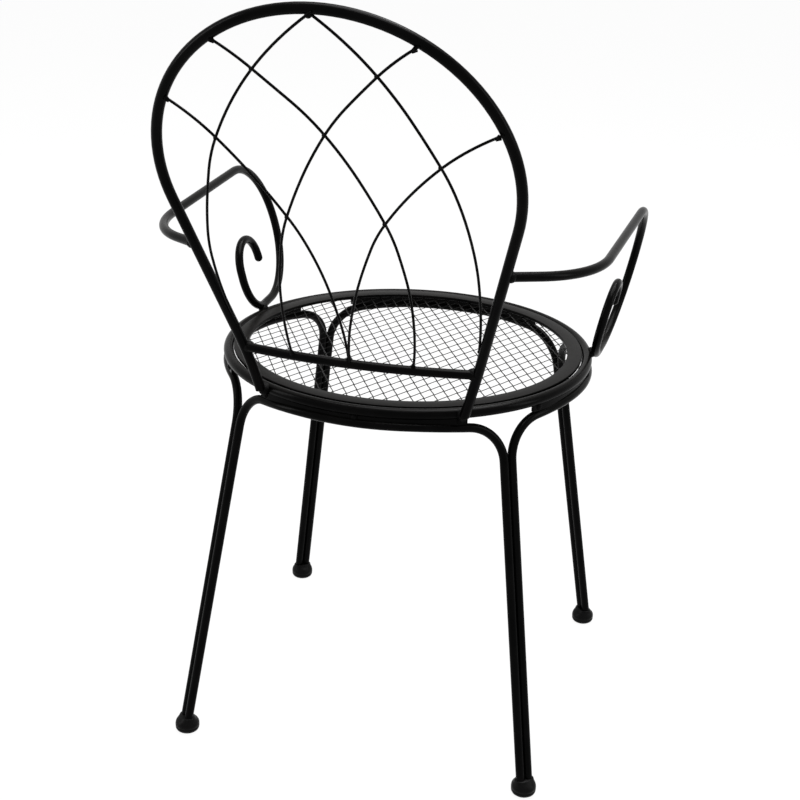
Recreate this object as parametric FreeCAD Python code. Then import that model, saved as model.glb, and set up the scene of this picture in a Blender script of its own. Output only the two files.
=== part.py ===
import FreeCAD
import Part
import math
import os

# Garden armchair of bent and welded steel rod, in millimetres.
# The sitter faces -Y, so the sitter's left hand is at +X and the back rises at +Y.
# While it is built, the round seat's centre is over the origin. At the end everything
# moves along Y, so that the origin is on the floor under the middle of the chair's
# overall width and depth.

# Seat
seat_height = 449.0
rim_outer_radius = 215.0
rim_rod_diameter = 12.0
band_width = 17.0
band_thickness = 4.0
band_drop = 0.0
mesh_thickness = 2.0
mesh_strand = 1.9
mesh_pitch_across = 15.1
mesh_pitch_along = 28.2
mesh_border = 2.0

# Leg loops, each bent from one rod, four of them round the seat
leg_rod_diameter = 10.0
loop_outset = 2.0
loop_bend_start = 33.0
leg_straight_drop = 67.0
leg_gauge_drop = 54.0
rear_leg_angle = 44.0
rear_leg_radius = 213.6
rear_leg_splay = 10.6
front_leg_angle = 47.0
front_leg_radius = 223.4
front_leg_splay = 11.0
rod_gap = 0.1

# Spacer bars on edge between the rim and each leg loop
spacer_height = 3.0
spacer_width = 4.0
spacer_bite = 1.0
spacer_start_angles = {"rear": 12.2, "right": 9.5, "front": 9.0, "left": 13.0}
spacer_end_angles = {"rear": 13.2, "right": 13.0, "front": 7.2, "left": 9.5}
spacer_foot_drop = 18.5

# Feet pushed over each pair of leg ends
foot_diameter = 28.5
foot_height = 19.0
foot_tread_diameter = 19.0
foot_belly_height = 8.5
foot_fullness = 0.3
foot_neck_diameter = 22.0
foot_floor = 4.0
foot_socket_clearance = 0.2

# Back hoop, flat in a plane that leans back, with a knee above the seat
hoop_rod_diameter = 11.0
hoop_radius = 180.2
hoop_centre_rise = 260.3
hoop_centre_setback = 288.9
back_lean = 22.8
hoop_leg_slant = 14.0
hoop_knee_rise = 34.0
hoop_knee_radius = 250.0
hoop_foot_half_width = 113.5
hoop_foot_drop = -1.0

# Lower back rail
rail_rod_diameter = 10.0
rail_rise = 46.5
rail_setback = 214.0
rail_bow = 14.0

# Lattice wires, in two layers that cross. A joint is given by its x and its rise above
# the hoop's centre. The wires are bent by hand, so the two sides differ a little.
wire_diameter = 2.8
lattice_bow = 16.4
lattice_edge_bow = 4.0
upper_joint_left = (63.0, 121.0)
upper_joint_right = (-54.9, 123.4)
side_joint_left = (109.6, 43.5)
side_joint_right = (-108.0, 33.1)
middle_joint = (0.0, 58.8)
lower_joint_left = (49.3, -40.2)
lower_joint_right = (-49.4, -36.7)
outer_wire_angle_left = 26.0
outer_wire_angle_right = 22.6
inner_wire_angle_left = 54.1
inner_wire_angle_right = 58.4
outer_wire_bends_left = [(24.0, -100.0), (9.0, -172.0)]
outer_wire_bends_right = [(-21.0, -100.0), (-1.5, -172.0)]
inner_wire_bends_left = [(-65.3, -104.5), (-68.5, -165.0)]
inner_wire_bends_right = [(65.5, -110.0), (69.5, -165.0)]
top_wire_bends_left = [(130.5, -30.0), (138.0, -100.0)]
top_wire_bends_right = [(-127.5, -27.0), (-137.0, -100.0)]
top_joint_x = 4.7
top_wire_spread = 4.1
rail_joint_x = 6.0
outer_wire_spread = 1.0
inner_wire_foot_left = -61.5
inner_wire_foot_right = 69.0
top_wire_foot_rise = 28.5

# Arms, each one rod from the back hoop to the scroll at the seat. They too are bent by
# hand, so the front of each has its own sizes.
arm_rod_diameter = 10.0
arm_root_rise = 170.0
arm_root_angle = 48.9
arm_rear_rise = 160.4
arm_rear_half_width = 240.8
arm_sweep_radius = 150.7
arm_front_half_width = 247.5
arm_front_rise_left = 164.5
arm_front_rise_right = 159.0
arm_front_setback_left = 77.0
arm_front_setback_right = 87.0
arm_nose_radius_left = 92.0
arm_nose_radius_right = 100.2
arm_belly_radius = 75.5
arm_heel_run = 24.0
arm_lean_limit = 25.0
scroll_radius_left = 46.0
scroll_radius_right = 53.7
scroll_curl_radius = 32.0
scroll_curl_rise = 8.0
scroll_curl_turn = 179.0

# Weld beads
rim_bead_radius = 4.5
rim_bead_inset_angle = 2.2
crossing_bead_radius = 2.2
crossing_bead_lift = 0.7
side_end_bead_radius = 2.0
double_end_bead_radius = 3.5
double_end_bead_depth = 1.2
flare_foot_radius = 3.0
flare_tip_radius = 1.7
flare_length = 3.5
flare_bite = 1.1
bead_axis = FreeCAD.Vector(1, 2, 3)
rail_bead_radius = 6.5
hoop_bead_radius = 7.0
arm_bead_radius = 6.2

rim_rod_radius = rim_rod_diameter / 2
leg_rod_radius = leg_rod_diameter / 2
hoop_rod_radius = hoop_rod_diameter / 2
rail_rod_radius = rail_rod_diameter / 2
arm_rod_radius = arm_rod_diameter / 2
wire_radius = wire_diameter / 2

rim_radius = rim_outer_radius - rim_rod_radius
rim_height = seat_height - rim_rod_radius
rim_inner_radius = rim_radius - rim_rod_radius

# Rises are measured up from the seat's top and drops down from it, but the top wires'
# feet rise from the rail.
leg_straight_top = seat_height - leg_straight_drop
leg_gauge_height = seat_height - leg_gauge_drop
spacer_foot_height = seat_height - spacer_foot_drop
hoop_centre_height = seat_height + hoop_centre_rise
hoop_knee_height = seat_height + hoop_knee_rise
rail_height = seat_height + rail_rise
top_wire_foot_height = rail_height + top_wire_foot_rise
arm_root_height = seat_height + arm_root_rise
arm_rear_height = seat_height + arm_rear_rise
arm_front_height_left = seat_height + arm_front_rise_left
arm_front_height_right = seat_height + arm_front_rise_right

solids = {}


def vec(x, y, z):
    return FreeCAD.Vector(x, y, z)


def unit(v):
    return v * (1 / v.Length)


def mirrored(shape):
    return shape.mirror(vec(0, 0, 0), vec(1, 0, 0))


def arc_or_line(start, tangent, end):
    """The edge that leaves start along tangent and reaches end, and its direction there."""
    chord = end - start
    along = unit(chord)
    turn = tangent.getAngle(chord)
    if turn < 1e-4:
        return Part.LineSegment(start, end).toShape(), along
    side = unit(tangent - along * tangent.dot(along))
    middle = start + chord * 0.5 + side * (chord.Length / 2 * math.tan(turn / 2))
    leaving = unit(along * (2 * tangent.dot(along)) - tangent)
    return Part.Arc(start, middle, end).toShape(), leaving


def biarc(start, leave, end, arrive):
    """Two tangent arcs from start to end that keep both end directions."""
    chord = end - start
    both = leave + arrive
    spread = 2 * (1 - leave.dot(arrive))
    reach = chord.dot(both)
    if spread < 1e-9:
        step = chord.dot(chord) / (2 * reach)
    else:
        step = (math.sqrt(reach * reach + spread * chord.dot(chord)) - reach) / spread
    joint = (start + end + (leave - arrive) * step) * 0.5
    first, direction = arc_or_line(start, leave, joint)
    second, direction = arc_or_line(joint, direction, end)
    return [first, second]


def through(points):
    """A smooth run of arcs through the points, its directions taken from the neighbours."""
    directions = []
    for i, point in enumerate(points):
        before = points[max(i - 1, 0)]
        after = points[min(i + 1, len(points) - 1)]
        directions.append(unit(after - before))
    directions[0] = unit(unit(points[1] - points[0]) * 2 - directions[1])
    directions[-1] = unit(unit(points[-1] - points[-2]) * 2 - directions[-2])
    edges = []
    for i in range(len(points) - 1):
        edges += biarc(points[i], directions[i], points[i + 1], directions[i + 1])
    return edges


def bend(corner, before, after, radius):
    """The arc that rounds a corner between two straight runs, with its two ends."""
    incoming = unit(corner - before)
    outgoing = unit(after - corner)
    turn = incoming.getAngle(outgoing)
    setback = radius * math.tan(turn / 2)
    start = corner - incoming * setback
    end = corner + outgoing * setback
    arc, direction = arc_or_line(start, incoming, end)
    return arc, start, end


def straight(start, end):
    return Part.LineSegment(start, end).toShape()


def sweep_rod(edges, radius):
    """A round rod along a smooth path."""
    path = Part.Wire(edges)
    first = path.OrderedEdges[0]
    start = first.valueAt(first.FirstParameter)
    direction = first.tangentAt(first.FirstParameter)
    if first.Orientation == "Reversed":
        start = first.valueAt(first.LastParameter)
        direction = first.tangentAt(first.LastParameter) * -1
    profile = Part.Wire(Part.Circle(start, direction, radius).toShape())
    rod = path.makePipeShell([profile], True, False)
    wanted = math.pi * radius * radius * path.Length
    if not rod.isValid() or abs(rod.Volume - wanted) > wanted / 100:
        raise ValueError("a rod did not follow its path: %.0f for %.0f" % (rod.Volume, wanted))
    return rod


def make_seat_rim():
    solids["seat_rim"] = Part.makeTorus(rim_radius, rim_rod_radius, vec(0, 0, rim_height))


def make_seat_band():
    outer = rim_inner_radius
    top = seat_height - band_drop
    ring = Part.makeCylinder(outer, band_thickness, vec(0, 0, top - band_thickness))
    bore = Part.makeCylinder(outer - band_width, band_thickness, vec(0, 0, top - band_thickness))
    band = ring.cut(bore)
    solids["seat_band"] = band.cut(solids["seat_rim"])


def make_seat_mesh():
    """Expanded steel: diamonds in staggered rows, under the band's edge all round."""
    top = seat_height - band_drop - band_thickness
    height = top - mesh_thickness
    outer = rim_inner_radius - rod_gap
    half_across = mesh_pitch_across / 2
    half_along = mesh_pitch_along / 2
    strand_pitch = 2 * half_across * half_along / math.hypot(half_across, half_along)
    share = 1 - mesh_strand / strand_pitch
    columns = int(outer / half_across)
    rows = int(outer / half_along)
    wires = [Part.Wire(Part.Circle(vec(0, 0, height), vec(0, 0, 1), outer).toShape())]
    for i in range(-columns, columns + 1):
        for j in range(-rows, rows + 1):
            if (i + j) % 2:
                continue
            x = i * half_across
            y = j * half_along
            a = half_across * share
            b = half_along * share
            reach = max(math.hypot(abs(x) + a, y), math.hypot(x, abs(y) + b))
            if reach > outer - mesh_border:
                continue
            corners = [vec(x + a, y, height), vec(x, y + b, height),
                       vec(x - a, y, height), vec(x, y - b, height)]
            wires.append(Part.makePolygon(corners + corners[:1]))
    print("seat mesh:", len(wires) - 1, "openings")
    face = Part.Face(wires, "Part::FaceMakerBullseye")
    solids["seat_mesh"] = face.extrude(vec(0, 0, mesh_thickness))


loop_radius = rim_radius + loop_outset
loop_drop = math.sqrt((rim_rod_radius + leg_rod_radius + spacer_height) ** 2 - loop_outset ** 2)
loop_height = rim_height - loop_drop
corners = {
    "left_rear": rear_leg_angle,
    "right_rear": 180 - rear_leg_angle,
    "right_front": 180 + front_leg_angle,
    "left_front": 360 - front_leg_angle,
}
loop_corners = {
    "rear": ("left_rear", "right_rear"),
    "right": ("right_rear", "right_front"),
    "front": ("right_front", "left_front"),
    "left": ("left_front", "left_rear"),
}


def ring_point(angle):
    a = math.radians(angle)
    return vec(loop_radius * math.cos(a), loop_radius * math.sin(a), loop_height)


def leg_line(corner):
    """The line midway between the two rods of a leg: its gauge point, its direction down
    and the direction across the pair."""
    rear = corner.endswith("rear")
    angle = math.radians(corners[corner])
    splay = math.radians(rear_leg_splay if rear else front_leg_splay)
    radius = rear_leg_radius if rear else front_leg_radius
    radial = vec(math.cos(angle), math.sin(angle), 0)
    across = vec(-math.sin(angle), math.cos(angle), 0)
    down = radial * math.sin(splay) - vec(0, 0, 1) * math.cos(splay)
    return radial * radius + vec(0, 0, leg_gauge_height), down, across


def leg_at(corner, height):
    gauge, down, across = leg_line(corner)
    return gauge + down * ((height - leg_gauge_height) / down.z)


def leg_run(corner, side):
    """One half of a loop, from the foot end of the rod up to the ring. Side is 1 for the
    loop that lies anticlockwise of the corner."""
    gauge, down, across = leg_line(corner)
    offset = across * (side * (leg_rod_radius + rod_gap / 2))
    end = leg_at(corner, foot_floor + leg_rod_radius * math.sqrt(1 - down.z * down.z)) + offset
    top = leg_at(corner, leg_straight_top) + offset
    angle = corners[corner] + side * loop_bend_start
    a = math.radians(angle)
    along_ring = vec(-math.sin(a), math.cos(a), 0) * side
    start = ring_point(angle)
    return end, top, biarc(top, down * -1, start, along_ring), start


def make_leg_loops():
    """Each loop runs up one leg, round under the rim and down the next leg."""
    for name, (first, second) in loop_corners.items():
        first_end, first_top, first_bend, ring_start = leg_run(first, 1)
        second_end, second_top, second_bend, ring_end = leg_run(second, -1)
        ring_middle = unit(ring_start + ring_end - vec(0, 0, 2 * loop_height)) * loop_radius
        ring_middle = ring_middle + vec(0, 0, loop_height)
        edges = [straight(first_end, first_top)] + first_bend
        edges.append(Part.Arc(ring_start, ring_middle, ring_end).toShape())
        edges += second_bend[::-1] + [straight(second_top, second_end)]
        solids["leg_loop_" + name] = sweep_rod(edges, leg_rod_radius)


def make_loop_spacers():
    """A bar on edge over the level part of each loop, let into the rim above it."""
    inner = rim_radius + loop_outset / 2 - spacer_width / 2
    height = rim_height - rim_rod_radius + spacer_bite - spacer_foot_height
    for name, (first, second) in loop_corners.items():
        start = corners[first] + spacer_start_angles[name]
        sweep = (corners[second] - spacer_end_angles[name] - start) % 360
        foot = vec(0, 0, spacer_foot_height)
        up = vec(0, 0, 1)
        bar = Part.makeCylinder(inner + spacer_width, height, foot, up, sweep)
        bar = bar.cut(Part.makeCylinder(inner, height, foot, up))
        bar.rotate(vec(0, 0, 0), up, start)
        bar = bar.cut(solids["seat_rim"]).cut(solids["leg_loop_" + name])
        solids["loop_spacer_" + name] = largest(bar)


def foot_outline():
    """Half of a foot's section: flat tread, full belly, flat neck."""
    neck = foot_neck_diameter / 2
    belly = foot_diameter / 2
    tread = foot_tread_diameter / 2
    low = foot_belly_height * foot_fullness
    high = foot_height - (foot_height - foot_belly_height) * foot_fullness
    lower = Part.Arc(vec(tread, 0, 0), vec(belly - (belly - tread) * foot_fullness, 0, low),
                     vec(belly, 0, foot_belly_height)).toShape()
    upper = Part.Arc(vec(belly, 0, foot_belly_height), vec(belly - (belly - neck) * foot_fullness, 0, high),
                     vec(neck, 0, foot_height)).toShape()
    return Part.Wire([
        straight(vec(0, 0, 0), vec(tread, 0, 0)), lower, upper,
        straight(vec(neck, 0, foot_height), vec(0, 0, foot_height)),
        straight(vec(0, 0, foot_height), vec(0, 0, 0)),
    ])


def make_feet():
    """A rounded foot with two blind sockets for the rod ends."""
    for corner in corners:
        centre = leg_at(corner, foot_height)
        centre.z = 0
        foot = Part.Face(foot_outline()).revolve(vec(0, 0, 0), vec(0, 0, 1), 360)
        foot.translate(centre)
        for side in (1, -1):
            end, top, bend_edges, start = leg_run(corner, side)
            socket_radius = leg_rod_radius + foot_socket_clearance
            socket = Part.makeCylinder(socket_radius, 2 * foot_height, end, unit(top - end))
            foot = foot.cut(socket)
        side_name, end_name = corner.split("_")
        solids["foot_%s_%s" % (end_name, side_name)] = foot


lean = math.radians(back_lean)
up_back = vec(0, math.sin(lean), math.cos(lean))
out_back = vec(0, math.cos(lean), -math.sin(lean))
hoop_centre = vec(0, hoop_centre_setback, hoop_centre_height)


def back_point(x, rise, bow):
    """A point of the back, measured from the hoop's centre along its plane and behind it."""
    return hoop_centre + vec(x, 0, 0) + up_back * rise + out_back * bow


def hoop_point(angle):
    a = math.radians(angle)
    return back_point(hoop_radius * math.cos(a), hoop_radius * math.sin(a), 0)


def flip(p):
    return vec(-p.x, p.y, p.z)


def hoop_half():
    """The hoop's left half, from its foot on the rim's outside up to its top."""
    tangent_point = hoop_point(-hoop_leg_slant)
    slant = math.radians(hoop_leg_slant)
    down = vec(-math.sin(slant), 0, 0) - up_back * math.cos(slant)
    knee = tangent_point + down * ((tangent_point.z - hoop_knee_height) / -down.z)
    stand_off = rim_outer_radius + hoop_rod_radius
    foot_y = math.sqrt(stand_off ** 2 - hoop_foot_half_width ** 2)
    foot = vec(hoop_foot_half_width, foot_y, rim_height - hoop_foot_drop)
    arc, start, end = bend(knee, foot, tangent_point, hoop_knee_radius)
    upper = Part.Arc(tangent_point, hoop_point(45), hoop_point(90)).toShape()
    return [straight(foot, start), arc, straight(end, tangent_point), upper]


def leg_point(height):
    """The middle of the left hoop leg at a height between its foot and its widest place."""
    for edge in hoop_half()[:3]:
        low = edge.FirstParameter
        high = edge.LastParameter
        if edge.valueAt(high).z < height:
            continue
        for _ in range(40):
            middle = (low + high) / 2
            if edge.valueAt(middle).z < height:
                low = middle
            else:
                high = middle
        return edge.valueAt(low)
    raise ValueError("the height is above the hoop's straight legs")


def make_back_hoop():
    half = hoop_half()
    other = [edge.mirror(vec(0, 0, 0), vec(1, 0, 0)) for edge in half]
    hoop = sweep_rod(half + other[::-1], hoop_rod_radius)
    solids["back_hoop"] = hoop.cut(solids["seat_rim"])


def rail_point(x):
    """The rail's middle line, a flat arc that bows back between the hoop's legs."""
    half = leg_point(rail_height).x
    radius = (half * half + rail_bow * rail_bow) / (2 * rail_bow)
    return vec(x, rail_setback - radius + math.sqrt(radius * radius - x * x), rail_height)


def make_back_rail():
    half = leg_point(rail_height).x
    arc = Part.Arc(rail_point(half), rail_point(0), rail_point(-half)).toShape()
    rail = sweep_rod([arc], rail_rod_radius)
    solids["back_rail"] = largest(rail.cut(solids["back_hoop"]))


def largest(shape):
    return max(shape.Solids, key=lambda solid: solid.Volume)


def bow_at(x, rise):
    """How far the lattice bows behind the hoop's plane."""
    out = min(1, math.hypot(x, max(rise, 0)) / hoop_radius)
    return lattice_edge_bow + (lattice_bow - lattice_edge_bow) * (1 - out ** 4)


def seen_from_centre(point):
    """A point as x, rise and bow from the hoop's centre."""
    away = point - hoop_centre
    return away.x, away.dot(up_back), away.dot(out_back)


def wire_stations():
    """For each wire, 1 or -1 for the front or the rear layer, and its middle line."""
    def bowed(joints):
        return [(x, rise, bow_at(x, rise)) for x, rise in joints]

    def on_hoop(angle):
        x, rise, bow = seen_from_centre(hoop_point(angle))
        return [(x, rise, lattice_edge_bow)]

    def at_top(x):
        return [(x, hoop_radius, lattice_edge_bow)]

    def on_rail(x):
        return [seen_from_centre(rail_point(x))]

    leg_foot = leg_point(top_wire_foot_height)
    inside = vec(leg_foot.x - hoop_rod_radius, leg_foot.y, leg_foot.z)
    outer_left = [side_joint_left, lower_joint_left] + outer_wire_bends_left
    outer_right = [side_joint_right, lower_joint_right] + outer_wire_bends_right
    inner_left = [upper_joint_left, middle_joint, lower_joint_right] + inner_wire_bends_left
    inner_right = [upper_joint_right, middle_joint, lower_joint_left] + inner_wire_bends_right
    top_right = [upper_joint_right, side_joint_right] + top_wire_bends_right
    top_left = [upper_joint_left, side_joint_left] + top_wire_bends_left
    return {
        "outer_left": (1, on_hoop(outer_wire_angle_left) + bowed(outer_left)
                       + on_rail(rail_joint_x + outer_wire_spread)),
        "outer_right": (-1, on_hoop(180 - outer_wire_angle_right) + bowed(outer_right)
                        + on_rail(rail_joint_x - outer_wire_spread)),
        "inner_left": (1, on_hoop(inner_wire_angle_left) + bowed(inner_left)
                       + on_rail(inner_wire_foot_left)),
        "inner_right": (-1, on_hoop(180 - inner_wire_angle_right) + bowed(inner_right)
                        + on_rail(inner_wire_foot_right)),
        "top_right": (1, at_top(top_joint_x + top_wire_spread) + bowed(top_right)
                      + [seen_from_centre(flip(inside))]),
        "top_left": (-1, at_top(top_joint_x - top_wire_spread) + bowed(top_left)
                     + [seen_from_centre(inside)]),
    }


def wire_points(way, stations):
    """The stations of a wire's middle line, moved into its layer."""
    layer = wire_radius + rod_gap / 2
    return [back_point(x, rise, bow - way * layer) for x, rise, bow in stations]


def make_lattice():
    for name, (way, stations) in wire_stations().items():
        wire = sweep_rod(through(wire_points(way, stations)), wire_radius)
        wire = wire.cut(solids["back_hoop"]).cut(solids["back_rail"])
        solids["lattice_wire_" + name] = largest(wire)


def arm_path(side, lean_angle):
    """One arm, from the middle of the hoop's leg to the free end of the scroll. Both arms
    are worked out on the left side."""
    if side == "left":
        front_height, setback = arm_front_height_left, arm_front_setback_left
        nose, scroll = arm_nose_radius_left, scroll_radius_left
    else:
        front_height, setback = arm_front_height_right, arm_front_setback_right
        nose, scroll = arm_nose_radius_right, scroll_radius_right
    root = leg_point(arm_root_height)
    angle = math.radians(arm_root_angle)
    front = vec(arm_front_half_width, -setback, front_height)

    # The straight part runs forward from the rear corner, a little outwards and upwards.
    rear_y = root.y - (arm_rear_half_width - root.x) / math.tan(angle)
    corner = vec(arm_rear_half_width, rear_y, arm_rear_height)
    forward = unit(front - corner)
    sweep, sweep_start, sweep_end = bend(corner, root, front, arm_sweep_radius)

    # The scroll lies in a plane that leans in towards the rim.
    inward = unit(vec(forward.y, -forward.x, 0))
    lean_in = math.radians(lean_angle)
    downward = inward * math.sin(lean_in) + unit(forward.cross(inward)) * math.cos(lean_in)

    def at(run, drop):
        """A point of the scroll's plane, forward of the straight's end and below it."""
        return front + forward * run + downward * drop

    belly = arm_belly_radius
    curl = scroll_curl_radius
    diagonal = math.sqrt(0.5)
    bottom = nose + belly
    nose_end = at(nose, nose)
    nose_arc = Part.Arc(front, at(nose * diagonal, nose - nose * diagonal), nose_end)
    belly_run = nose - belly
    belly_end = at(belly_run, bottom)
    belly_arc = Part.Arc(nose_end, at(belly_run + belly * diagonal, nose + belly * diagonal), belly_end)
    heel_run = belly_run - arm_heel_run
    heel = at(heel_run, bottom)
    back_run = heel_run - scroll
    scroll_end = at(back_run, bottom - scroll)
    scroll_middle = at(heel_run - scroll * diagonal, bottom - scroll + scroll * diagonal)
    scroll_arc = Part.Arc(heel, scroll_middle, scroll_end)
    curl_drop = bottom - scroll - scroll_curl_rise
    curl_run = back_run + curl
    turn = math.radians(scroll_curl_turn)
    curl_start = at(back_run, curl_drop)
    half_way = at(curl_run - curl * math.cos(turn / 2), curl_drop - curl * math.sin(turn / 2))
    tip = at(curl_run - curl * math.cos(turn), curl_drop - curl * math.sin(turn))
    edges = [straight(root, sweep_start), sweep, straight(sweep_end, front),
             nose_arc.toShape(), belly_arc.toShape(), straight(belly_end, heel),
             scroll_arc.toShape(), straight(scroll_end, curl_start),
             Part.Arc(curl_start, half_way, tip).toShape()]
    return edges, tip


def arm_lean(side):
    """The least lean at which the foot of the scroll touches the rim."""
    rim_line = Part.Circle(vec(0, 0, rim_height), vec(0, 0, 1), rim_radius).toShape()
    touching = rim_rod_radius + arm_rod_radius + rod_gap

    def is_clear(lean_angle):
        edges, tip = arm_path(side, lean_angle)
        return min(edge.distToShape(rim_line)[0] for edge in edges[4:7]) > touching

    high = 0.0
    while high < arm_lean_limit and is_clear(high):
        high += 1.0
    low = high - 1.0
    for _ in range(16):
        middle = (low + high) / 2
        if is_clear(middle):
            low = middle
        else:
            high = middle
    return low


def make_arms():
    for side in ("left", "right"):
        lean_angle = arm_lean(side)
        print("%s arm leans in by %.2f degrees" % (side, lean_angle))
        edges, tip = arm_path(side, lean_angle)
        arm = sweep_rod(edges, arm_rod_radius)
        arm = arm.fuse(Part.makeSphere(arm_rod_radius, tip)).removeSplitter()
        arm = largest(arm.cut(solids["back_hoop"]))
        solids["arm_" + side] = mirrored(arm) if side == "right" else arm


def ball(spot, radius):
    return Part.makeSphere(radius, spot, bead_axis)


def flare(end, towards, rod_radius):
    """A cone of weld metal round a wire's end, wide where it meets the rod."""
    way = unit(towards - end)
    foot = end + way * (rod_radius - flare_bite)
    return Part.makeCone(flare_foot_radius, flare_tip_radius, flare_bite + flare_length, foot, way)


def weld(name, beads, neighbours, on_both_sides=False):
    """Weld metal, each bead fitted round the rods that it joins."""
    fitted = []
    for bead in beads:
        for neighbour in neighbours:
            bead = bead.cut(solids[neighbour])
        fitted.append(largest(bead))
    if on_both_sides:
        fitted += [mirrored(bead) for bead in fitted]
    solids[name] = Part.makeCompound(fitted)


def lattice_beads():
    """A ball at each crossing and each shared or slanting end, and a flare at the others."""
    beads = []
    joints = [upper_joint_left, upper_joint_right, side_joint_left, side_joint_right,
              middle_joint, lower_joint_left, lower_joint_right]
    for x, rise in joints:
        spot = back_point(x, rise + crossing_bead_lift, bow_at(x, rise))
        beads.append(ball(spot, crossing_bead_radius))
    for name, (way, stations) in wire_stations().items():
        points = wire_points(way, stations)
        if name.startswith("top"):
            beads.append(ball(points[-1], side_end_bead_radius))
            continue
        beads.append(flare(points[0], points[1], hoop_rod_radius))
        if name.startswith("inner"):
            beads.append(flare(points[-1], points[-2], rail_rod_radius))
    hoop_inside = hoop_radius - hoop_rod_radius + double_end_bead_depth
    beads.append(ball(back_point(top_joint_x, hoop_inside, lattice_edge_bow), double_end_bead_radius))
    rail_top = rail_point(rail_joint_x + crossing_bead_lift)
    rail_top.z += rail_rod_radius - double_end_bead_depth
    beads.append(ball(rail_top, double_end_bead_radius))
    return beads


def nearest_middle(first, second):
    """The point midway between two solids where they come closest."""
    pair = first.distToShape(second)[1][0]
    return (pair[0] + pair[1]) * 0.5


def loop_beads():
    """Three beads along each loop: near the ends of its spacer and in the middle."""
    share = rim_rod_radius / (rim_rod_radius + leg_rod_radius)
    beads = []
    for name, (first, second) in loop_corners.items():
        start = corners[first]
        sweep = (corners[second] - start) % 360
        near_start = spacer_start_angles[name] + rim_bead_inset_angle
        near_end = sweep - spacer_end_angles[name] - rim_bead_inset_angle
        for turn in (near_start, sweep / 2, near_end):
            below = ring_point(start + turn)
            above = below * (rim_radius / loop_radius)
            above.z = rim_height
            beads.append(ball(above + (below - above) * share, rim_bead_radius))
    return beads


def make_welds():
    loops = [name for name in solids if name.startswith("leg_loop") or name.startswith("loop_spacer")]
    wires = [name for name in solids if name.startswith("lattice_wire")]
    weld("weld_beads_seat", loop_beads(), ["seat_rim", "back_hoop"] + loops)

    foot_edge = hoop_half()[0]
    toe = foot_edge.valueAt(foot_edge.FirstParameter)
    toe = toe * (rim_outer_radius / math.hypot(toe.x, toe.y))
    toe.z = rim_height
    rods = ["seat_rim", "back_hoop", "weld_beads_seat"] + loops
    weld("weld_beads_hoop", [ball(toe, hoop_bead_radius)], rods, True)

    rail_end = leg_point(rail_height) - vec(hoop_rod_radius, 0, 0)
    weld("weld_beads_rail", [ball(rail_end, rail_bead_radius)], ["back_hoop", "back_rail"], True)

    weld("weld_beads_lattice", lattice_beads(), ["back_hoop", "back_rail"] + wires)

    root_edge = arm_path("left", 0)[0][0]
    root = root_edge.valueAt(root_edge.FirstParameter)
    root = root + root_edge.tangentAt(root_edge.FirstParameter) * hoop_rod_radius
    beads = []
    for arm, spot in (("arm_left", root), ("arm_right", flip(root))):
        heel = nearest_middle(solids[arm], solids["seat_rim"])
        beads += [ball(spot, arm_bead_radius), ball(heel, arm_bead_radius)]
    weld("weld_beads_arms", beads, ["back_hoop", "seat_rim", "arm_left", "arm_right"])


make_seat_rim()
make_seat_band()
make_seat_mesh()
make_leg_loops()
make_loop_spacers()
make_feet()
make_back_hoop()
make_back_rail()
make_lattice()
make_arms()
make_welds()

front_end = leg_at("left_front", foot_height).y - foot_diameter / 2
back_end = hoop_point(90).y + hoop_rod_radius
to_middle = vec(0, -(front_end + back_end) / 2, 0)
print("the seat's centre ends up at y = %.2f" % to_middle.y)

os.makedirs("parts", exist_ok=True)
for name, shape in solids.items():
    shape.translate(to_middle)
    shape.exportStep("parts/%s.step" % name)
    box = shape.BoundBox
    print("%-28s solids %d valid %s  x %.1f..%.1f  y %.1f..%.1f  z %.1f..%.1f" % (
        name, len(shape.Solids), shape.isValid(), box.XMin, box.XMax, box.YMin, box.YMax, box.ZMin, box.ZMax))
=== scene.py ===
import math

import bmesh
import bpy
from mathutils import Matrix, Vector


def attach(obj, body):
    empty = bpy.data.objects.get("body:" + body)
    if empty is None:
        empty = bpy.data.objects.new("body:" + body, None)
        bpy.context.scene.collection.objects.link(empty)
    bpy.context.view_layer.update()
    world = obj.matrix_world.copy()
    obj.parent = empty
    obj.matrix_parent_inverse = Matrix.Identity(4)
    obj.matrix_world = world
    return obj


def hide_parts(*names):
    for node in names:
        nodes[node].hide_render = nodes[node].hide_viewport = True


# Garden armchair of bent and welded steel rod with a black powder coat. The camera stands
# behind it, a little towards the sitter's right.
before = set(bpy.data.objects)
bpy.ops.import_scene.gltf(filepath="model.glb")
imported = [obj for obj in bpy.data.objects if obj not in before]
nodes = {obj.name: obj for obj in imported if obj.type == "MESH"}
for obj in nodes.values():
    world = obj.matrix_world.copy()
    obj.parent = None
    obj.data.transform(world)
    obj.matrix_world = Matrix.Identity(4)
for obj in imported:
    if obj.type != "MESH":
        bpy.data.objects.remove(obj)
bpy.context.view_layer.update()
print("chair loaded:", len(nodes), "nodes")

mm = 0.001
seatCentre = Vector((0, -66.57 * mm, 0))


class Signal:
    # one output socket, with the sums and products that the finishes need
    def __init__(self, bench, socket):
        self.bench = bench
        self.socket = socket

    def join(self, operation, first, second):
        return self.bench.node("Math", {"operation": operation}, {0: first, 1: second})

    def __add__(self, other):
        return self.join("ADD", self, other)

    def __radd__(self, other):
        return self.join("ADD", other, self)

    def __sub__(self, other):
        return self.join("SUBTRACT", self, other)

    def __rsub__(self, other):
        return self.join("SUBTRACT", other, self)

    def __mul__(self, other):
        return self.join("MULTIPLY", self, other)

    def __rmul__(self, other):
        return self.join("MULTIPLY", other, self)


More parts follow.
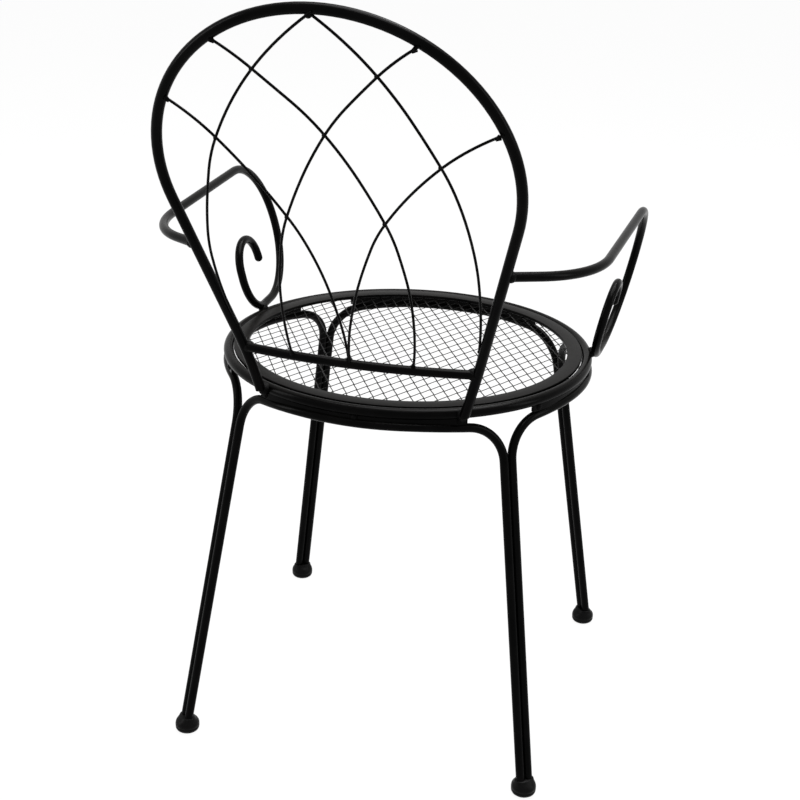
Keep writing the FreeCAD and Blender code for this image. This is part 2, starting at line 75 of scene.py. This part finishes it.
class Bench:
    # builds the nodes of one material, or of the world
    def __init__(self, name, owners=bpy.data.materials, end="OutputMaterial"):
        self.owner = owners.new(name)
        self.owner.use_nodes = True
        self.tree = self.owner.node_tree
        self.tree.nodes.clear()
        self.end = end

    def node(self, kind, settings=None, inputs=None, out=0):
        made = self.tree.nodes.new("ShaderNode" + kind)
        for key, value in (settings or {}).items():
            if key == "stops":
                ramp = made.color_ramp
                while len(ramp.elements) < len(value):
                    ramp.elements.new(0.5)
                for element, (place, colour) in zip(ramp.elements, value):
                    element.position = place
                    element.color = colour
            else:
                setattr(made, key, value)
        for key, value in (inputs or {}).items():
            socket = made.inputs[key]
            if isinstance(value, Signal):
                self.tree.links.new(value.socket, socket)
            else:
                socket.default_value = value
        return Signal(self, made.outputs[out])

    def where(self):
        return self.node("NewGeometry", out="Position")

    def noise(self, scale, detail=2.0, roughness=0.5):
        return self.node("TexNoise", {}, {
            "Vector": self.where(), "Scale": scale, "Detail": detail, "Roughness": roughness})

    def ramp(self, value, low, high):
        return self.node("ValToRGB", {"stops": [(low, grey(0)), (high, grey(1))]}, {"Fac": value})

    def blend(self, share, first, second):
        return self.node("Mix", {"data_type": "RGBA"}, {0: share, 6: first, 7: second}, out=2)

    def bump(self, distance, height):
        return self.node("Bump", {}, {"Strength": 1.0, "Distance": distance, "Height": height})

    def whiteShare(self):
        # 1 where the eye, or a mirror image, looks straight at the backdrop
        rays = [self.node("LightPath", out=name) for name in (
            "Is Camera Ray", "Is Glossy Ray", "Is Transmission Ray")]
        return rays[0] + rays[1] + rays[2]

    def finish(self, surface):
        last = self.tree.nodes.new("ShaderNode" + self.end)
        self.tree.links.new(surface.socket, last.inputs["Surface"])
        return self.owner


def grey(value):
    return (value, value, value, 1)


coat = {
    "black": (0.0003, 0.0003, 0.0003, 1),   # powder colour where the coat is thick
    "worn": (0.0012, 0.0011, 0.0011, 1),    # and where it has gone a little chalky
    "patchSize": 21.0,                      # patches per metre
    "patchRange": (0.38, 0.68),             # where the noise turns from black to worn
    "dust": (0.030, 0.028, 0.026, 1),       # settled on faces that look up
    "dustShare": 0.07,
    "dustSize": 260.0,
    "dustSlope": (0.55, 1.0),               # how far a face looks up before dust lies on it
    "dustRoughness": 0.6,
    "specular": 0.030,
    "roughness": 0.23,
    "roughnessSpread": 0.08,
    "peelSize": 430.0,                      # orange peel, waves per metre
    "lumpSize": 95.0,
    "lumpShare": 1.4,
    "peelDepth": 0.00005,
}


def powderCoat(name, peel=1.0, roughness=0.0, dust=1.0):
    bench = Bench(name)
    patch = bench.noise(coat["patchSize"], 4.0, 0.6)
    upward = bench.node("SeparateXYZ", {}, {"Vector": bench.node("NewGeometry", out="Normal")}, out=2)
    lying = bench.ramp(upward, *coat["dustSlope"])
    share = lying * bench.noise(coat["dustSize"], 3.0, 0.7) * (coat["dustShare"] * dust * 2)
    base = bench.blend(bench.ramp(patch, *coat["patchRange"]), coat["black"], coat["worn"])
    spread = coat["roughnessSpread"]
    rough = patch * spread + share * coat["dustRoughness"] + (coat["roughness"] + roughness - spread / 2)
    waves = bench.noise(coat["peelSize"]) + bench.noise(coat["lumpSize"], 1.0) * coat["lumpShare"]
    skin = bench.bump(coat["peelDepth"] * peel, waves)
    return bench.finish(bench.node("BsdfPrincipled", {}, {
        "Base Color": bench.blend(share, base, coat["dust"]), "Roughness": rough, "Normal": skin,
        "Specular IOR Level": coat["specular"], "IOR": 1.5,
    }))


bead = {
    "lumps": 330.0,
    "ripple": 620.0,
    "rippleShare": 0.25,
    "depth": 0.00035,
    "roughness": 0.3,
    "roughnessSpread": 0.2,
}


def weldCoat():
    # coat over weld metal: lumpy, ringed like cooled drops
    bench = Bench("coated_weld")
    lump = bench.noise(bead["lumps"], 3.0, 0.55)
    rings = bench.node("TexWave", {"wave_type": "RINGS"}, {
        "Vector": bench.where(), "Scale": bead["ripple"], "Distortion": 3.0, "Detail": 1.0})
    return bench.finish(bench.node("BsdfPrincipled", {}, {
        "Base Color": bench.blend(lump, coat["black"], coat["worn"]),
        "Roughness": lump * bead["roughnessSpread"] + bead["roughness"],
        "Normal": bench.bump(bead["depth"], lump + rings * bead["rippleShare"]),
        "Specular IOR Level": coat["specular"], "IOR": 1.5,
    }))


sole = {
    "colour": (0.0014, 0.0014, 0.0014, 1),
    "scuff": (0.012, 0.0117, 0.0113, 1),
    "scuffHeight": 8 * mm,
    "scuffSize": 240.0,
    "scuffRange": (0.48, 0.7),
    "scuffShare": 0.7,
    "specular": 0.055,
    "roughness": 0.40,
    "roughnessSpread": 0.16,
    "pores": 900.0,
    "poreDepth": 0.08 * mm,
}


def footPlastic():
    # moulded plastic, a little scuffed towards the floor
    bench = Bench("foot_plastic")
    height = bench.node("SeparateXYZ", {}, {"Vector": bench.where()}, out=2)
    low = bench.node("MapRange", {"clamp": True}, {
        "Value": height, "From Min": 0.0, "From Max": sole["scuffHeight"], "To Min": 1.0, "To Max": 0.0})
    marks = bench.noise(sole["scuffSize"], 5.0, 0.7)
    rubbed = bench.ramp(marks, *sole["scuffRange"]) * low * sole["scuffShare"]
    spread = sole["roughnessSpread"]
    return bench.finish(bench.node("BsdfPrincipled", {}, {
        "Base Color": bench.blend(rubbed, sole["colour"], sole["scuff"]),
        "Roughness": marks * spread + (sole["roughness"] - spread / 2),
        "Normal": bench.bump(sole["poreDepth"], bench.noise(sole["pores"])),
        "Specular IOR Level": sole["specular"],
    }))


rodCoat = powderCoat("powder_coat_rod")
wireCoat = powderCoat("powder_coat_wire", peel=0.3, roughness=0.03)
bandCoat = powderCoat("powder_coat_band", peel=1.6, roughness=0.06, dust=1.4)
strandCoat = powderCoat("powder_coat_strand", peel=0.5, roughness=0.04, dust=1.2)
beadCoat = weldCoat()
footFinish = footPlastic()


def dress(name, material):
    slots = nodes[name].material_slots
    if not slots:
        nodes[name].data.materials.append(material)
    for slot in slots:
        slot.material = material


for name in nodes:
    if name.startswith("foot_"):
        dress(name, footFinish)
    elif name.startswith("weld_beads"):
        dress(name, beadCoat)
    elif name.startswith("lattice_wire"):
        dress(name, wireCoat)
    elif name == "seat_band":
        dress(name, bandCoat)
    elif name == "seat_mesh":
        dress(name, strandCoat)
    else:
        dress(name, rodCoat)
print("finishes made:", len(bpy.data.materials))


def loft(work, rings, closed=False):
    # faces from each ring of points to the next, with the two ends capped
    loops = [[work.verts.new(point * mm) for point in ring] for ring in rings]
    pairs = list(zip(loops, loops[1:]))
    if closed:
        pairs.append((loops[-1], loops[0]))
    else:
        work.faces.new(loops[0])
        work.faces.new(loops[-1][::-1])
    for near, far in pairs:
        for i in range(len(near)):
            j = (i + 1) % len(near)
            work.faces.new((near[i], near[j], far[j], far[i]))


def pieceFrom(name, work, material, smooth=True):
    bmesh.ops.recalc_face_normals(work, faces=work.faces)
    mesh = bpy.data.meshes.new(name)
    work.to_mesh(mesh)
    work.free()
    mesh.materials.append(material)
    for face in mesh.polygons:
        face.use_smooth = smooth
    piece = bpy.data.objects.new(name, mesh)
    bpy.context.scene.collection.objects.link(piece)
    return piece


# Seat: expanded steel, a slit sheet pulled open so that its strands stand on a slant.
meshSeat = {
    "across": 15.1,      # pitch of the diamonds from side to side
    "along": 28.2,       # and from front to back
    "strand": 1.15,      # strand width
    "sheet": 0.85,       # sheet thickness
    "slant": 24.0,       # degrees that the strands lean
    "bond": 0.09,        # share of a half diamond where two strands stay joined
    "easing": 2.2,       # points are set again at this many bonds from each end
    "bow": 0.06,         # how much of the swing is eased, the rest is straight
    "round": 0.2,        # coat rounding of the strand's corners
    "reach": 201.0,      # radius that the sheet is cut to
    "middle": 444.1,     # height of the sheet's middle
}


def strandSection():
    w = meshSeat["strand"] / 2
    t = meshSeat["sheet"] / 2
    r = meshSeat["round"]
    lean = math.radians(meshSeat["slant"])
    c, s = math.cos(lean), math.sin(lean)
    flat = [
        (w, t - r), (w - r, t), (r - w, t), (-w, t - r),
        (-w, r - t), (r - w, -t), (w - r, -t), (w, r - t),
    ]
    return [(a * c + b * s, b * c - a * s) for a, b in flat]


def strandRow(k):
    # the middle line of one strand, which swings between the bonds on its two sides
    half = meshSeat["across"] / 2
    step = meshSeat["along"] / 2
    lean = math.radians(meshSeat["slant"])
    inset = meshSeat["strand"] / 2 * math.cos(lean)
    rise = meshSeat["strand"] / 2 * math.sin(lean)
    left, right = k * half + inset, (k + 1) * half - inset
    bond = meshSeat["bond"]
    eased = bond * meshSeat["easing"]
    bow = meshSeat["bow"]
    points = []
    rows = int(meshSeat["reach"] / step) + 2
    for j in range(-rows, rows):
        leftFirst = (k + j) % 2 != 0       # bonds lie where the two counts add up odd
        for share in (0.0, bond, eased, 1 - eased, 1 - bond):
            swing = min(max((share - bond) / (1 - 2 * bond), 0), 1)
            swing = swing * (1 - bow) + bow * swing * swing * (3 - 2 * swing)
            if not leftFirst:
                swing = 1 - swing
            across = left + (right - left) * swing
            points.append(Vector((across, (j + share) * step, rise * (1 - 2 * swing))))
    return points


def cutRound(points, reach):
    # keeps the stretch inside the round seat, with its two ends on the circle
    inside = [p.xy.length <= reach for p in points]
    if not any(inside):
        return []
    first = inside.index(True)
    last = len(inside) - 1 - inside[::-1].index(True)
    kept = points[first:last + 1]
    for end, before in ((0, first - 1), (-1, last + 1)):
        a, b = kept[end], points[before]
        low, high = 0.0, 1.0
        for _ in range(20):
            trial = (low + high) / 2
            if a.lerp(b, trial).xy.length <= reach:
                low = trial
            else:
                high = trial
        extra = a.lerp(b, low)
        if (extra - a).length > 0.2:
            kept = [extra] + kept if end == 0 else kept + [extra]
    return kept


def makeStrands():
    section = strandSection()
    middle = seatCentre / mm + Vector((0, 0, meshSeat["middle"]))
    work = bmesh.new()
    half = meshSeat["across"] / 2
    count = int(meshSeat["reach"] / half) + 1
    rows = 0
    for k in range(-count - 1, count + 1):
        points = cutRound(strandRow(k), meshSeat["reach"])
        if len(points) < 2:
            continue
        rows += 1
        loft(work, [[middle + at + Vector((across, 0, up)) for across, up in section] for at in points])
    print("seat strands:", rows)
    return pieceFrom("seat_strands", work, strandCoat)


strands = makeStrands()
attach(strands, "root")
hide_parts("seat_mesh")


# Seat band: the flat ring inside the rim, with its edges rolled round.
ringBand = {
    "inner": 186.0,
    "outer": 203.0,
    "bottom": 445.0,
    "top": 449.0,
    "edge": 0.9,         # rounding of the four long edges
    "edgeSteps": 4,
    "segments": 240,
}


def bandSection():
    edge = ringBand["edge"]
    corners = [
        (ringBand["outer"] - edge, ringBand["top"] - edge, 0),
        (ringBand["inner"] + edge, ringBand["top"] - edge, 90),
        (ringBand["inner"] + edge, ringBand["bottom"] + edge, 180),
        (ringBand["outer"] - edge, ringBand["bottom"] + edge, 270),
    ]
    section = []
    for radius, height, start in corners:
        for i in range(ringBand["edgeSteps"] + 1):
            turn = math.radians(start + 90 * i / ringBand["edgeSteps"])
            section.append((radius + edge * math.cos(turn), height + edge * math.sin(turn)))
    return section


def makeBand():
    section = bandSection()
    middle = seatCentre / mm
    rings = []
    for i in range(ringBand["segments"]):
        turn = 2 * math.pi * i / ringBand["segments"]
        out = Vector((math.cos(turn), math.sin(turn), 0))
        rings.append([middle + out * radius + Vector((0, 0, height)) for radius, height in section])
    work = bmesh.new()
    loft(work, rings, closed=True)
    return pieceFrom("seat_band_rolled", work, bandCoat)


band = makeBand()
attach(band, "root")
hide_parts("seat_band")
print("seat band made")


# Feet: moulded glides, round below and drawn in to an oval neck round the two rods.
glide = {
    "segments": 72,
    "squareness": 2.4,   # 2 is an ellipse, more is squarer
    # height, half width along the pair of rods, half width across it
    "rings": [
        (0.0, 9.5, 9.5), (0.5, 11.3, 11.3), (1.8, 12.9, 12.9), (3.8, 13.9, 13.9), (5.8, 14.15, 14.15),
        (6.1, 13.8, 13.8), (6.7, 13.8, 13.8), (7.0, 14.2, 14.2), (9.4, 14.2, 14.2), (11.4, 13.9, 13.8),
        (13.2, 13.3, 12.8), (14.8, 12.5, 11.2), (16.2, 11.9, 9.6), (17.6, 11.6, 8.4), (18.6, 11.4, 7.8),
        (19.0, 11.0, 7.4),
    ],
}


def glideRing(centre, along, height, halfAlong, halfAcross):
    across = Vector((-along.y, along.x, 0))
    roundness = max(0.0, 1 - halfAcross / halfAlong)
    power = 2 / (2 + (glide["squareness"] - 2) * min(1, roundness * 4))
    ring = []
    for i in range(glide["segments"]):
        turn = 2 * math.pi * i / glide["segments"]
        c, s = math.cos(turn), math.sin(turn)
        u = halfAlong * math.copysign(abs(c) ** power, c)
        v = halfAcross * math.copysign(abs(s) ** power, s)
        ring.append(centre + along * u + across * v + Vector((0, 0, height)))
    return ring


def makeGlide(name):
    corners = [nodes[name].matrix_world @ Vector(corner) for corner in nodes[name].bound_box]
    centre = sum(corners, Vector()) / len(corners) / mm
    centre.z = 0
    outward = (centre - seatCentre / mm).normalized()
    along = Vector((-outward.y, outward.x, 0))
    work = bmesh.new()
    loft(work, [glideRing(centre, along, *ring) for ring in glide["rings"]])
    piece = pieceFrom("glide_" + name[5:], work, footFinish)
    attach(piece, "root")
    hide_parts(name)


for name in [each for each in nodes if each.startswith("foot_")]:
    makeGlide(name)
print("feet made")


studio = {
    "floor": 0.86,          # floor colour
    "floorGlow": 0.94,      # share of plain white that is seen in the floor
    "floorRadius": 14.0,
    "ambient": 0.55,        # light from all round
    # place, what it points at, size and power of each lamp
    "lamps": {
        "overhead": ((-0.3, -0.4, 3.4), (0, 0, 0.4), (2.6, 2.6), 220.0),
        "small": ((-0.4, -1.7, 3.0), (0, 0, 0.5), (0.4, 0.4), 16.0),
        "sideLeft": ((2.4, 1.0, 1.3), (0, 0, 0.5), (0.5, 1.8), 22.0),
        "sideRight": ((-2.6, 0.0, 1.3), (0, 0, 0.5), (0.5, 1.8), 16.0),
    },
}


def makeWorld():
    bench = Bench("studio", bpy.data.worlds, "OutputWorld")
    soft = bench.node("Background", {}, {"Color": grey(1), "Strength": studio["ambient"]})
    white = bench.node("Background", {}, {"Color": grey(1), "Strength": 1.0})
    seen = bench.node("MixShader", {}, {0: bench.whiteShare(), 1: soft, 2: white})
    bpy.context.scene.world = bench.finish(seen)


def floorPaint():
    bench = Bench("studio_floor")
    colour = bench.blend(bench.noise(3.0, 3.0), grey(studio["floor"]), grey(studio["floor"] + 0.02))
    matt = bench.node("BsdfPrincipled", {}, {
        "Base Color": colour, "Roughness": 0.9, "Specular IOR Level": 0.1})
    white = bench.node("Emission", {}, {"Color": grey(1), "Strength": 1.0})
    share = bench.whiteShare() * studio["floorGlow"]
    return bench.finish(bench.node("MixShader", {}, {0: share, 1: matt, 2: white}))


def makeFloor():
    work = bmesh.new()
    bmesh.ops.create_circle(work, cap_ends=True, segments=96, radius=studio["floorRadius"])
    floor = pieceFrom("floor", work, floorPaint(), smooth=False)


def softbox(name, place, target, size, power):
    light = bpy.data.lights.new(name, "AREA")
    light.shape = "RECTANGLE"
    light.size, light.size_y = size
    light.energy = power
    lamp = bpy.data.objects.new(name, light)
    lamp.location = place
    lamp.rotation_euler = (Vector(target) - Vector(place)).to_track_quat("-Z", "Y").to_euler()
    bpy.context.scene.collection.objects.link(lamp)


makeWorld()
makeFloor()
for name, (place, target, size, power) in studio["lamps"].items():
    softbox(name, place, target, size, power)
print("studio lit")


# Camera, fitted to the photograph.
lens = {
    "place": (-0.4446, 1.6190, 1.0614),
    "turn": 15.02,       # degrees round from straight behind
    "down": 21.45,
    "roll": 1.85,
    "focal": 70.88,
    "sensor": 36,
    "farthest": 60,
}


def makeCamera():
    turn, down, roll = (math.radians(lens[k]) for k in ("turn", "down", "roll"))
    look = Vector((math.sin(turn) * math.cos(down), -math.cos(turn) * math.cos(down), -math.sin(down)))
    right = Vector((-math.cos(turn), -math.sin(turn), 0))
    up = right.cross(look)
    across = right * math.cos(roll) + up * math.sin(roll)
    above = up * math.cos(roll) - right * math.sin(roll)
    data = bpy.data.cameras.new("photo")
    data.lens = lens["focal"]
    data.sensor_width = lens["sensor"]
    data.clip_end = lens["farthest"]
    camera = bpy.data.objects.new("photo", data)
    turned = Matrix((across, above, -look)).transposed().to_4x4()
    camera.matrix_world = Matrix.Translation(lens["place"]) @ turned
    bpy.context.scene.collection.objects.link(camera)
    bpy.context.scene.camera = camera


makeCamera()
bpy.context.scene.view_settings.view_transform = "Standard"
print("camera set")
